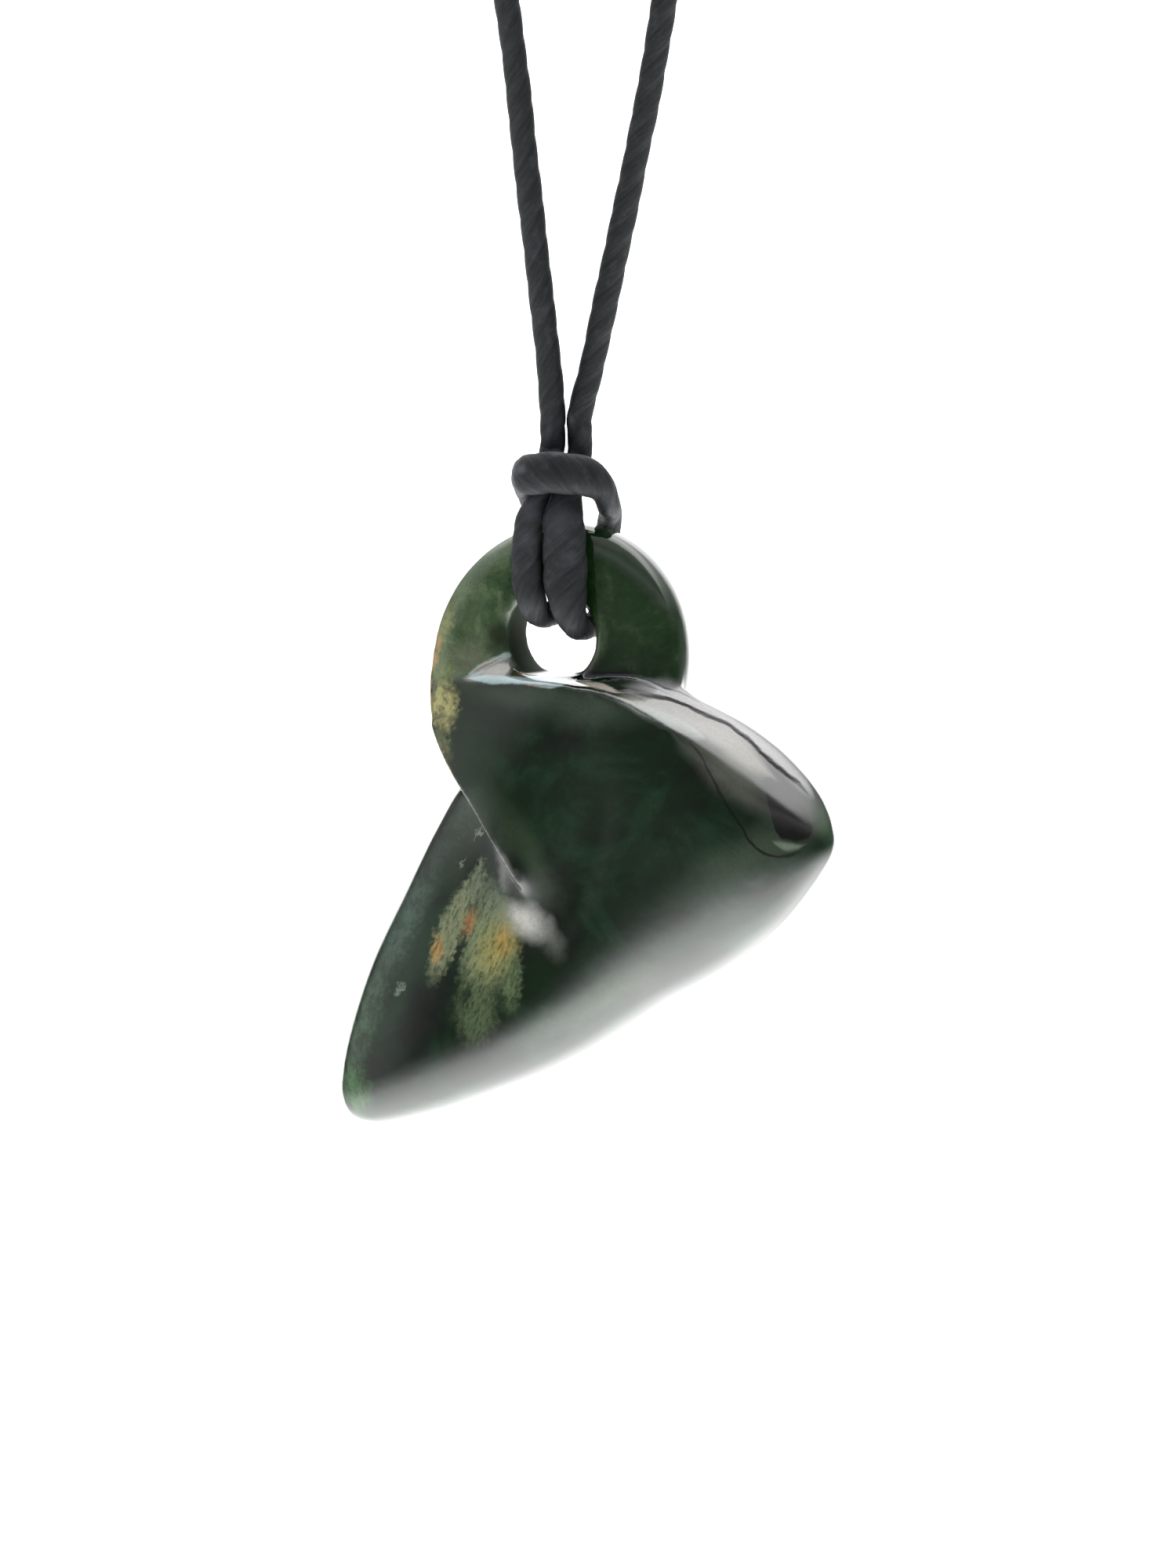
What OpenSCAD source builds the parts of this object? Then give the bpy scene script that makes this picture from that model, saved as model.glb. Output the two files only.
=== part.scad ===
/* [Stone] */
// Turn of the stone on its cord, to the wearer's right, in degrees
stone_turn = 20; // [10:1:30]
// Radius of the cord hole through the ring
hole_radius = 3.2; // [3:0.05:3.6]
// How far below the hole's centre its flat floor lies
hole_floor = 2.7; // [2.5:0.05:2.9]
// Bevel of the hole's two edges
hole_bevel = 0.35; // [0.1:0.05:0.6]
// Outer radius of the ring, measured across its long way
ring_radius = 9.15; // [8.9:0.05:9.4]
// How much longer that radius is along its long way, as a share
ring_stretch = 0.09; // [0:0.005:0.1]
// Lean of the long way to the right of upright, in degrees
ring_lean = 25; // [0:5:40]
// Thickness of the ring from front to back
ring_thickness = 4.2; // [3.6:0.1:4.6]
// How far the ring's middle lies below the hole's centre
ring_drop = 1.85; // [1.5:0.05:2]
// Rounding of the ring's rim
rim_rounding = 0.7; // [0.5:0.1:1]

/* [Cord] */
// Thickness of the waxed cord
cord_diameter = 1.8; // [1.4:0.1:1.8]
// Outer diameter of the knot that closes the loop at the nape
knot_diameter = 4.8; // [4.4:0.1:6]
// Length of that knot along the cord
knot_length = 9; // [6:0.5:11]
// Length of the taper at each of its ends
knot_taper = 1; // [0.5:0.1:1.2]

/* [Hidden] */

// Everything is laid out from the centre of the stone's hole, with X to the right as the wearer's
// front is seen, Y away and Z up. The finished part hangs from the underside of the loop's top.
neck_rest = [2, -1.5, 290];

// Sections of the stone worked out for each row of its tables
stone_steps = 6;
// Points on each rounded corner of a section, and sides of the cord
corner_points = 6;
cord_sides = 8;

// Each row of these tables is one section of the stone. Its columns are the section's corners, each
// as [to the right, towards the front, up], then how far each corner is rounded.
// The leg that crosses in front, from the ring's left side down to where it sinks into the body:
// front inner, back inner, back outer, front outer, rounding
front_leg_rows = [
    [[-8.4, 0.9, -1.4], [-8.4, -0.9, -1.4], [-9.45, -0.7, -1.4], [-9.45, 0.7, -1.4], [0.1, 0.1, 0.4, 0.4]],
    [[-7.8, 1.9, -2.6], [-7.6, -1.7, -2.6], [-9.6, -1.7, -3.0], [-9.6, 1.7, -3.0], [0.2, 0.3, 0.8, 0.8]],
    [[-6.2, 2.4, -3.0], [-5.8, -2.0, -3.0], [-9.55, -1.9, -4.9], [-9.55, 2.2, -4.9], [0.2, 0.3, 1.0, 1.0]],
    [[-4.2, 3.0, -3.0], [-3.8, -1.8, 2.5], [-8.85, -1.8, -6.9], [-8.9, 2.8, -7.0], [0.2, 0.3, 1.1, 1.1]],
    [[-1.2, 4.1, -3.0], [-0.8, -1.6, -1.2], [-7.2, -1.2, -9.4], [-7.4, 3.6, -9.5], [0.2, 0.3, 1.0, 1.0]],
    [[2.2, 4.8, -3.1], [2.6, -1.4, -3.0], [-5.3, -0.8, -11.8], [-5.5, 4.1, -12.0], [0.2, 0.3, 0.8, 0.8]],
    [[5.4, 4.9, -4.2], [5.4, -1.6, -4.0], [-3.2, -0.4, -14.8], [-3.4, 4.5, -15.0], [0.3, 0.6, 0.6, 0.6]],
    [[8.0, 4.6, -6.8], [8.0, -2.0, -6.8], [-0.8, -0.8, -18.0], [-1.0, 4.8, -18.2], [0.5, 1.0, 0.6, 0.6]],
    [[9.6, 3.6, -10.0], [9.6, -2.0, -10.0], [2.0, -2.0, -21.2], [2.0, 4.2, -21.4], [1.0, 1.0, 0.8, 0.8]]
];
// The leg that crosses behind, from the ring's right side:
// front inner, back inner, back outer, front outer, rounding
back_leg_rows = [
    [[8.4, 0.9, -1.4], [8.4, -0.9, -1.4], [9.3, -0.7, -1.4], [9.3, 0.7, -1.4], [0.1, 0.1, 0.4, 0.4]],
    [[7.2, 1.7, -2.6], [7.4, -1.9, -2.6], [9.15, -1.7, -3.0], [9.15, 1.7, -3.0], [0.3, 0.2, 0.7, 0.7]],
    [[5.4, 2.0, -3.0], [5.8, -2.4, -3.0], [8.85, -2.2, -4.9], [8.85, 1.9, -4.9], [0.3, 0.2, 0.8, 0.8]],
    [[3.6, 1.8, -3.1], [4.0, -3.0, -3.1], [8.3, -2.8, -7.0], [8.2, 1.8, -6.9], [0.3, 0.2, 1.0, 1.0]],
    [[0.6, 1.6, -3.4], [1.0, -4.1, -3.4], [7.1, -3.6, -9.6], [6.9, 1.2, -9.5], [0.3, 0.2, 1.0, 1.0]],
    [[-2.2, 1.2, -4.9], [-2.0, -4.7, -4.9], [5.4, -4.2, -12.4], [5.2, 0.8, -12.2], [0.4, 0.3, 0.8, 0.8]],
    [[-4.6, 1.0, -8.1], [-4.4, -4.8, -8.1], [3.6, -4.6, -15.8], [3.4, 1.0, -15.6], [0.8, 0.5, 0.6, 0.6]],
    [[-6.2, 0.8, -12.4], [-6.2, -4.4, -12.4], [1.8, -4.8, -19.2], [1.8, 2.0, -19.2], [1.0, 1.0, 0.6, 0.6]],
    [[-6.2, 0.6, -16.0], [-6.2, -3.8, -16.0], [-0.8, -4.2, -22.0], [-0.8, 2.0, -22.0], [1.0, 1.0, 0.8, 0.8]]
];
// The body that both legs run into, from its left tip to its right tip:
// top front, top back, middle back, keel back, keel front, middle front, rounding
body_rows = [
    [[-16.4, 0.5, -33.0], [-16.4, -0.5, -33.0], [-16.3, -0.6, -33.4],
     [-16.2, -0.5, -33.9], [-16.2, 0.5, -33.9], [-16.3, 0.6, -33.4], [2, 2, 4, 9, 9, 4]],
    [[-16.3, 1.3, -31.8], [-16.3, -1.3, -31.8], [-15.9, -1.9, -33.2],
     [-15.3, -1.6, -34.7], [-15.3, 1.6, -34.7], [-15.9, 1.9, -33.2], [2, 2, 4, 9, 9, 4]],
    [[-16.0, 1.9, -29.8], [-16.0, -1.9, -29.8], [-14.9, -2.9, -32.3],
     [-13.8, -2.7, -35.1], [-13.8, 2.7, -35.1], [-14.9, 2.9, -32.3], [2, 2, 4, 9, 9, 4]],
    [[-15.2, 2.2, -26.6], [-15.2, -2.4, -26.6], [-13.2, -3.8, -30.4],
     [-11.6, -3.8, -34.8], [-11.6, 3.8, -34.8], [-13.2, 3.8, -30.4], [3, 3, 5, 9, 9, 5]],
    [[-13.9, 2.3, -22.8], [-13.9, -3.0, -22.8], [-10.8, -4.5, -28.0],
     [-8.2, -4.6, -33.9], [-8.2, 4.6, -33.9], [-10.8, 4.4, -28.0], [3, 3, 6, 9, 9, 6]],
    [[-12.0, 2.0, -18.7], [-12.0, -3.8, -18.7], [-7.6, -4.8, -25.4],
     [-4.4, -5.0, -32.5], [-4.4, 5.0, -32.5], [-7.6, 4.6, -25.4], [3, 3, 6, 9, 9, 6]],
    [[-9.85, 1.4, -14.5], [-9.85, -4.4, -14.5], [-4.6, -5.0, -22.6],
     [-0.6, -5.2, -30.9], [-0.6, 5.2, -30.9], [-4.6, 4.5, -22.6], [2, 2, 6, 9, 9, 6]],
    [[-7.7, 0.8, -10.7], [-7.7, -4.9, -10.7], [-1.8, -5.1, -20.4],
     [2.6, -5.2, -29.2], [2.6, 5.2, -29.2], [-1.8, 4.4, -20.4], [1.5, 1, 6, 9, 9, 5]],
    [[-4.6, 0.6, -7.2], [-4.6, -4.9, -7.2], [1.2, -4.8, -18.4],
     [5.4, -5.1, -27.4], [5.4, 5.2, -27.4], [1.2, 4.7, -18.4], [1, 0.4, 6, 9, 9, 5]],
    [[-0.8, 2.6, -4.0], [-0.8, -3.8, -4.0], [4.4, -4.4, -15.6],
     [8.2, -5.0, -25.6], [8.2, 5.2, -25.6], [4.4, 5.1, -15.6], [0.4, 0.3, 6, 9, 9, 6]],
    [[3.2, 4.8, -3.2], [3.5, 1.2, -2.85], [7.8, -3.9, -13.4],
     [11.0, -4.8, -24.1], [11.0, 5.0, -24.1], [7.8, 5.4, -13.4], [0.2, 0.5, 6, 9, 9, 6]],
    [[7.4, 5.1, -4.6], [8.3, 1.2, -2.7], [11.0, -3.6, -12.6],
     [13.7, -4.4, -22.3], [13.7, 4.7, -22.3], [11.0, 5.3, -12.6], [0.3, 0.9, 6, 9, 9, 6]],
    [[11.6, 5.1, -7.0], [12.9, -1.8, -4.7], [14.2, -3.4, -12.9],
     [16.3, -3.7, -20.1], [16.3, 4.2, -20.1], [14.2, 4.9, -12.9], [1.2, 2.5, 6, 9, 9, 6]],
    [[15.4, 4.2, -9.9], [16.6, -1.9, -6.9], [17.0, -3.0, -13.4],
     [18.3, -2.8, -17.7], [18.3, 3.2, -17.7], [17.0, 3.9, -13.4], [4, 3, 5, 9, 9, 5]],
    [[17.9, 3.1, -11.6], [18.7, -1.7, -9.2], [18.8, -2.2, -13.8],
     [19.4, -1.9, -16.1], [19.4, 2.3, -16.1], [18.8, 2.9, -13.8], [4, 3, 4, 9, 9, 4]],
    [[19.4, 1.8, -12.7], [19.8, -1.2, -11.3], [19.8, -1.4, -13.9],
     [20.1, -1.2, -15.0], [20.1, 1.4, -15.0], [19.8, 1.7, -13.9], [3, 3, 3, 9, 9, 3]],
    [[20.3, 0.6, -13.4], [20.3, -0.4, -13.1], [20.4, -0.5, -13.9],
     [20.4, -0.4, -14.3], [20.4, 0.5, -14.3], [20.4, 0.6, -13.9], [2, 2, 2, 9, 9, 2]]
];

// The cord through the hole and round the ring: place, width across and depth. It runs down in
// front, back through the hole, up behind, forward over the ring and across the two strands as the
// bar, and returns the same way on the right.
hitch_route = [
    [-0.6, -1.5, 14.5, 1.8, 1.8], [-0.6, -1.5, 13.4, 1.8, 1.8], [-0.8, -1.6, 12.2, 1.8, 1.7],
    [-1.0, -1.8, 11.0, 1.7, 1.6], [-1.7, -2.2, 9.5, 1.7, 1.6], [-2.25, -2.5, 8.0, 2.1, 1.6],
    [-2.45, -2.5, 6.0, 2.3, 1.6], [-2.4, -2.6, 4.0, 2.3, 1.6], [-2.1, -2.8, 2.7, 2.2, 1.6],
    [-1.75, -2.4, 1.7, 1.9, 1.7], [-1.05, -1.4, 1.5, 1.8, 1.8], [-0.5, 0.1, 1.6, 1.8, 1.8],
    [0.1, 1.7, 1.7, 1.8, 1.8], [0.4, 2.9, 2.2, 1.8, 1.7], [0.4, 3.45, 3.3, 1.8, 1.7],
    [0.0, 3.6, 4.9, 1.8, 1.7], [-0.9, 3.9, 7.0, 1.8, 1.7], [-1.8, 3.4, 8.8, 1.8, 1.7],
    [-2.4, 2.3, 10.0, 1.9, 1.6], [-2.7, 0.8, 10.8, 2.0, 1.5], [-2.8, -0.9, 11.2, 2.4, 1.4],
    [-2.5, -2.7, 11.4, 2.8, 1.4], [-1.3, -3.6, 11.6, 3.0, 1.5], [0.3, -3.8, 11.6, 3.0, 1.5],
    [1.8, -3.6, 11.3, 2.8, 1.5], [2.8, -2.8, 10.6, 2.2, 1.6], [3.25, -1.3, 9.4, 1.9, 1.7],
    [3.4, 0.2, 8.85, 1.8, 1.7], [3.4, 1.55, 8.25, 1.8, 1.7], [3.3, 2.3, 7.1, 1.8, 1.7],
    [3.1, 2.5, 5.5, 1.8, 1.7], [2.95, 2.5, 3.9, 1.8, 1.7], [2.85, 2.5, 2.4, 1.8, 1.7],
    [2.7, 2.1, 1.2, 1.8, 1.7], [2.35, 1.0, 0.75, 1.8, 1.8], [1.85, -0.6, 0.65, 1.8, 1.8],
    [1.35, -2.3, 0.65, 1.8, 1.8], [0.95, -3.3, 1.0, 1.8, 1.7], [0.5, -3.65, 2.3, 2.3, 1.6],
    [0.3, -3.6, 4.0, 2.8, 1.6], [0.25, -3.55, 6.0, 2.85, 1.6], [0.2, -3.45, 8.0, 2.6, 1.6],
    [0.35, -2.7, 9.5, 2.0, 1.6], [0.85, -1.9, 11.0, 1.7, 1.6], [1.2, -1.6, 12.2, 1.8, 1.7],
    [1.3, -1.5, 13.4, 1.8, 1.8], [1.3, -1.5, 14.5, 1.8, 1.8]
];
// The hitch is pressed flat towards an upright line in its middle, between these heights
hitch_core = [0.3, 0.3];
hitch_core_low = 5.5;
hitch_core_high = 11;

// The neck loop from the hitch's left strand over the top to its right one: across and up
loop_route = [
    [-0.6, 14.5], [-0.6, 15.6], [-0.85, 19], [-1.3, 23], [-2.5, 33.5], [-3.8, 44.5], [-9, 80],
    [-14.2, 115], [-19.4, 150], [-24.6, 185], [-29.8, 220], [-34.1, 249], [-33.9, 260.7],
    [-29.6, 272.6], [-21.5, 282.4], [-10.5, 288.7], [2, 290.9], [14.5, 288.7], [25.5, 282.4],
    [33.6, 272.6], [37.9, 260.7], [38.1, 249], [33.8, 220], [28.5, 185], [23.2, 150],
    [17.9, 115], [12.6, 80], [7.2, 44.5], [5.2, 33.5], [3.0, 23], [2.15, 19], [1.3, 15.6],
    [1.3, 14.5]
];
// Point of the loop's route from which the knot reaches to the next
knot_point = 18;
// Clearance between the knot and the cord inside it
knot_gap = 0.3;

// A smooth curve through a table's rows, at row number u
function between_rows(rows, u) =
    let (
        last = len(rows) - 1,
        i = min(floor(u), last - 1),
        f = u - i,
        before = rows[max(i - 1, 0)],
        from = rows[i],
        to = rows[i + 1],
        after = rows[min(i + 2, last)]
    )
    0.5 * (2 * from + f * (to - before) + f ^ 2 * (2 * before - 5 * from + 4 * to - after)
        + f ^ 3 * (3 * from - before - 3 * to + after));

function unit(v) = v / norm(v);

function towards(corner, other, reach) =
    corner + (other - corner) * min(reach / max(norm(other - corner), 0.001), 0.5);

// One section of the stone as a loop of points, with its corners rounded
function section_loop(row) =
    let (corners = len(row) - 1)
    [
        for (c = [0:corners - 1])
            let (
                corner = row[c],
                start = towards(corner, row[(c + corners - 1) % corners], row[corners][c]),
                end = towards(corner, row[(c + 1) % corners], row[corners][c])
            )
            for (k = [0:corner_points - 1])
                let (
                    f = k / (corner_points - 1),
                    p = (1 - f) ^ 2 * start + 2 * f * (1 - f) * corner + f ^ 2 * end
                )
                [p.x, -p.y, p.z]
    ];

// A solid through a table's sections, as one convex slice between each two
module loft(rows) {
    for (k = [0:(len(rows) - 1) * stone_steps - 1])
        let (
            points = concat(
                section_loop(between_rows(rows, k / stone_steps)),
                section_loop(between_rows(rows, (k + 1) / stone_steps))
            )
        )
        hull()
            polyhedron(points, [[for (i = [0:len(points) - 1]) i]]);
}

module ring_profile() {
    intersection() {
        translate([0, -ring_thickness])
            square(ring_radius * 2);
        offset(r = rim_rounding, $fn = 32)
            square([2 * (ring_radius - rim_rounding), ring_thickness - 2 * rim_rounding], center = true);
    }
}

module ring() {
    translate([0, 0, -ring_drop])
        rotate([0, ring_lean, 0])
            scale([1, 1, 1 + ring_stretch])
                rotate([90, 0, 0])
                    rotate_extrude($fn = 96)
                        ring_profile();
}

// The cord hole is round above and has a flat floor, level with the top of both legs
module cord_hole() {
    intersection() {
        rotate([90, 0, 0]) {
            cylinder(h = 4 * ring_thickness, r = hole_radius, center = true, $fn = 64);
            for (side = [0, 180])
                rotate([side, 0, 0])
                    translate([0, 0, ring_thickness / 2 - hole_bevel])
                        cylinder(
                            h = 2 * hole_bevel,
                            r1 = hole_radius,
                            r2 = hole_radius + 2 * hole_bevel,
                            $fn = 64
                        );
        }
        translate([-2 * hole_radius, -4 * ring_thickness, -hole_floor])
            cube([4 * hole_radius, 8 * ring_thickness, 4 * hole_radius]);
    }
}

// A tube through rows of place, width and depth, whose depth lies along the direction it faces
function tube_rings(rows, facings) = [
    for (k = [0:len(rows) - 1])
        let (
            row = rows[k],
            place = [row[0], row[1], row[2]],
            next = rows[min(k + 1, len(rows) - 1)],
            prev = rows[max(k - 1, 0)],
            along = unit([next[0] - prev[0], next[1] - prev[1], next[2] - prev[2]]),
            out = unit(facings[k] - along * (facings[k] * along)),
            across = cross(along, out)
        )
        for (side = [0:cord_sides - 1])
            let (a = 360 * (side + 0.5) / cord_sides)
            place + out * (row[4] / 2 * cos(a)) + across * (row[3] / 2 * sin(a))
];

module tube(rows, facings) {
    last = (len(rows) - 1) * cord_sides;
    polyhedron(
        tube_rings(rows, facings),
        concat(
            [[for (side = [0:cord_sides - 1]) side], [for (side = [cord_sides - 1:-1:0]) last + side]],
            [
                for (k = [0:cord_sides:last - cord_sides])
                    for (side = [0:cord_sides - 1])
                        let (
                            turned = (side + 1) % cord_sides,
                            near = [side, side + cord_sides, turned],
                            far = [turned, side + cord_sides, turned + cord_sides]
                        )
                        for (half = [near, far])
                            [for (corner = half) k + corner]
            ]
        )
    );
}

// Moves what is laid out from the hole's centre to where it hangs from the neck rest
module hung() {
    translate(-neck_rest)
        children();
}

module stone() {
    color("darkgreen")
        hung()
            rotate([0, 0, -stone_turn])
                difference() {
                    union() {
                        ring();
                        loft(front_leg_rows);
                        loft(back_leg_rows);
                        loft(body_rows);
                    }
                    cord_hole();
                }
}

module hitch() {
    facings = [
        for (row = hitch_route)
            [
                row[0] - hitch_core.x,
                row[1] - hitch_core.y,
                row[2] - min(max(row[2], hitch_core_low), hitch_core_high)
            ]
    ];
    color("#26282b")
        hung()
            tube(hitch_route, facings);
}

module neck_cord() {
    rows = [
        for (point = loop_route)
            [point.x, neck_rest.y, point.y, cord_diameter, cord_diameter]
    ];
    color("#2b2d30")
        hung()
            tube(rows, [for (row = rows) [0, -1, 0]]);
}

module closing_knot() {
    from = loop_route[knot_point];
    to = loop_route[knot_point + 1];
    middle = (from + to) / 2;
    color("#1f2124")
        hung()
            translate([middle.x, neck_rest.y, middle.y])
                rotate([0, atan2(to.x - from.x, to.y - from.y), 0])
                    difference() {
                        union() {
                            cylinder(
                                h = knot_length - 2 * knot_taper,
                                d = knot_diameter,
                                center = true,
                                $fn = 32
                            );
                            for (end = [0, 180])
                                rotate([end, 0, 0])
                                    translate([0, 0, knot_length / 2 - knot_taper])
                                        cylinder(
                                            h = knot_taper,
                                            d1 = knot_diameter,
                                            d2 = knot_diameter - 1.4 * knot_taper,
                                            $fn = 32
                                        );
                        }
                        cylinder(
                            h = 2 * knot_length,
                            d = cord_diameter + 2 * knot_gap,
                            center = true,
                            $fn = 32
                        );
                    }
}

stone();
hitch();
neck_cord();
closing_knot();
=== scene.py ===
"""Greenstone twist pendant on its waxed cord: finish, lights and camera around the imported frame."""

import math

import bmesh
import bpy
import numpy as np
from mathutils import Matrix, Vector


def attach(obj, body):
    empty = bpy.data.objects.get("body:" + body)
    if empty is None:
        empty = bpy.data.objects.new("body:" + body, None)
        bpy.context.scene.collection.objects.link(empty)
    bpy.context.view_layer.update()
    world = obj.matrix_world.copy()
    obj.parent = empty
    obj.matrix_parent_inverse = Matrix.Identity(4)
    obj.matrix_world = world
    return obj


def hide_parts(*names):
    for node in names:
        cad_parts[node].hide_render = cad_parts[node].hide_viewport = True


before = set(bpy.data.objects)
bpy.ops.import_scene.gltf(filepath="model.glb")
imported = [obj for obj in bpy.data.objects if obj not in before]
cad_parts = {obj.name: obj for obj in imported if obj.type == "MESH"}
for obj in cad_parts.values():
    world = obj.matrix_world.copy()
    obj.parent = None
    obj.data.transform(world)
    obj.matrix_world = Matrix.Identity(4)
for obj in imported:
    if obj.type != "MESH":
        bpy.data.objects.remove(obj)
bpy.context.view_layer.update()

MM = 0.001
# The part hangs from the underside of the loop's top. Shapes are laid out, as in the part's source,
# from the centre of the stone's hole, in millimetres, X right, Y away and Z up.
NECK_REST = (2.0, -1.5, 290.0)
# The stone is turned to the right on its cord
STONE_TURN = math.radians(20)

# Photograph: size in pixels, real size of a pixel, place of the hole's centre and camera height
PHOTO_PX = (1500, 2000)
MM_PER_PX = 0.055
HOLE_PX = (716, 810)
CAMERA_RISE = math.radians(5)
CAMERA_DISTANCE = 1000.0
SENSOR = 36.0

# Floor: its depth below the neck rest and its radius
FLOOR_DROP = 372.0
FLOOR_RADIUS = 9000.0


# Places

def hung(x, y, z):
    """A point laid out from the hole's centre, in metres from the neck rest."""
    return Vector((x - NECK_REST[0], y - NECK_REST[1], z - NECK_REST[2])) * MM


def hung_array(points):
    """The same for many points at once."""
    return (np.asarray(points, float) - NECK_REST) * MM


def stone_coordinates(points):
    """Points in metres as the stone's own coordinates in millimetres: to its right, front and up."""
    p = np.asarray(points, float) / MM + NECK_REST
    cos, sin = math.cos(STONE_TURN), math.sin(STONE_TURN)
    return np.stack([p[:, 0] * cos - p[:, 1] * sin, -p[:, 0] * sin - p[:, 1] * cos, p[:, 2]], axis=1)


def at_pixel(px, py):
    """The point of the upright plane through the hole's centre that the photograph shows there."""
    right = (px - HOLE_PX[0]) * MM_PER_PX
    up = (HOLE_PX[1] - py) * MM_PER_PX
    return hung(right, 0.0, up / math.cos(CAMERA_RISE))


# Material and light helpers

class Shader:
    """Short names for making and joining shader nodes."""

    def __init__(self, tree):
        self.tree = tree
        self.nodes = tree.nodes

    def add(self, kind, **settings):
        node = self.nodes.new(kind)
        for name, value in settings.items():
            setattr(node, name, value)
        return node

    def join(self, source, socket):
        self.tree.links.new(source, socket)

    def put(self, socket, value):
        """Joins an output to the socket, or sets a plain value there."""
        if isinstance(value, bpy.types.NodeSocket):
            self.join(value, socket)
        elif isinstance(value, tuple) and len(value) == 3 and socket.type == "RGBA":
            socket.default_value = (*value, 1.0)
        else:
            socket.default_value = value

    def math(self, operation, first, second=0.0):
        node = self.add("ShaderNodeMath", operation=operation)
        self.put(node.inputs[0], first)
        self.put(node.inputs[1], second)
        return node.outputs[0]

    def vector(self, operation, first, second=(0.0, 0.0, 0.0)):
        node = self.add("ShaderNodeVectorMath", operation=operation)
        self.put(node.inputs[0], first)
        self.put(node.inputs[1], second)
        return node.outputs[1] if operation in ("LENGTH", "DISTANCE", "DOT_PRODUCT") else node.outputs[0]

    def combine(self, x, y, z=0.0):
        node = self.add("ShaderNodeCombineXYZ")
        for socket, value in zip(node.inputs, (x, y, z)):
            self.put(socket, value)
        return node.outputs[0]

    def split(self, source):
        node = self.add("ShaderNodeSeparateXYZ")
        self.join(source, node.inputs[0])
        return node.outputs[0], node.outputs[1], node.outputs[2]

    def rescale(self, value, low, high, to_low=0.0, to_high=1.0, smooth=True):
        """The value as it goes from low to high, as a number from to_low to to_high."""
        node = self.add("ShaderNodeMapRange", interpolation_type="SMOOTHSTEP" if smooth else "LINEAR")
        for socket, number in zip(node.inputs[:5], (value, low, high, to_low, to_high)):
            self.put(socket, number)
        return node.outputs[0]

    def noise(self, coordinates, scale, detail, roughness=0.5, distortion=0.0, output="Fac"):
        node = self.add("ShaderNodeTexNoise")
        self.join(coordinates, node.inputs["Vector"])
        node.inputs["Scale"].default_value = scale
        node.inputs["Detail"].default_value = detail
        node.inputs["Roughness"].default_value = roughness
        node.inputs["Distortion"].default_value = distortion
        return node.outputs[output]

    def wander(self, vector, coordinates, scale, reach):
        """The vector moved about by up to the reach each way, by noise over the coordinates."""
        colour = self.noise(coordinates, scale, detail=4.0, output="Color")
        shift = self.vector("SUBTRACT", colour, (0.5, 0.5, 0.5))
        return self.vector("ADD", vector, self.vector("MULTIPLY", shift, (2 * reach, 2 * reach, 0.0)))

    def mapped(self, coordinates, place, turn, scale, inside=False):
        """Coordinates scaled, turned about Z and moved, or with inside the other way about."""
        node = self.add("ShaderNodeMapping", vector_type="TEXTURE" if inside else "POINT")
        self.join(coordinates, node.inputs["Vector"])
        node.inputs["Location"].default_value = place
        node.inputs["Rotation"].default_value = (0.0, 0.0, turn)
        node.inputs["Scale"].default_value = scale
        return node.outputs[0]

    def mix(self, share, first, second, blend="MIX"):
        node = self.add("ShaderNodeMix", data_type="RGBA", blend_type=blend)
        self.put(node.inputs["Factor"], share)
        self.put(node.inputs[6], first)
        self.put(node.inputs[7], second)
        return node.outputs[2]

    def ramp(self, value, stops):
        """A colour that goes in straight lines through stops of (value, colour)."""
        low, high = stops[0][0], stops[-1][0]
        node = self.add("ShaderNodeValToRGB")
        self.join(self.rescale(value, low, high, smooth=False), node.inputs[0])
        elements = node.color_ramp.elements
        while len(elements) < len(stops):
            elements.new(0.5)
        for element, (place, colour) in zip(elements, stops):
            element.position = (place - low) / (high - low)
            element.color = (*colour, 1.0)
        return node.outputs[0]

    def curve(self, value, points):
        """A number that follows a smooth curve through points of (value, number)."""
        node = self.add("ShaderNodeFloatCurve")
        mapping = node.mapping
        mapping.use_clip = False
        mapping.extend = "HORIZONTAL"
        handles = mapping.curves[0].points
        for _ in points[2:]:
            handles.new(0.5, 0.5)
        for handle, place in zip(handles, points):
            handle.location = place
        mapping.update()
        self.join(value, node.inputs["Value"])
        return node.outputs[0]

    def level(self, value, stops):
        """A number that goes in straight lines through stops of (value, number)."""
        most = max(number for _, number in stops)
        grey = [(place, (number / most,) * 3) for place, number in stops]
        return self.math("MULTIPLY", self.ramp(value, grey), most)


def new_material(name):
    material = bpy.data.materials.new(name)
    material.use_nodes = True
    tree = Shader(material.node_tree)
    return material, tree, tree.nodes["Principled BSDF"]


# Camera, light and floor

def add_camera():
    middle = at_pixel(PHOTO_PX[0] / 2, PHOTO_PX[1] / 2)
    back = Vector((0.0, -math.cos(CAMERA_RISE), math.sin(CAMERA_RISE)))
    data = bpy.data.cameras.new("camera")
    data.sensor_width = SENSOR
    data.lens = SENSOR * CAMERA_DISTANCE / (PHOTO_PX[1] * MM_PER_PX)
    camera = bpy.data.objects.new("camera", data)
    camera.location = middle + back * CAMERA_DISTANCE * MM
    camera.rotation_mode = "QUATERNION"
    camera.rotation_quaternion = (-back).to_track_quat("-Z", "Y")
    bpy.context.collection.objects.link(camera)
    bpy.context.scene.camera = camera


# Brightness of the studio by height of the direction, as its sine: a lit table below, dim walls and
# a wide soft box above
STUDIO_LEVELS = [(-1.0, 7.0), (-0.87, 6.2), (-0.70, 5.0), (-0.5, 3.6), (-0.36, 1.9), (-0.26, 0.95),
                 (-0.16, 0.36), (-0.05, 0.18), (0.18, 0.18), (0.34, 0.5), (0.5, 1.2), (0.64, 3.0),
                 (0.77, 4.2), (1.0, 4.2)]


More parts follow.
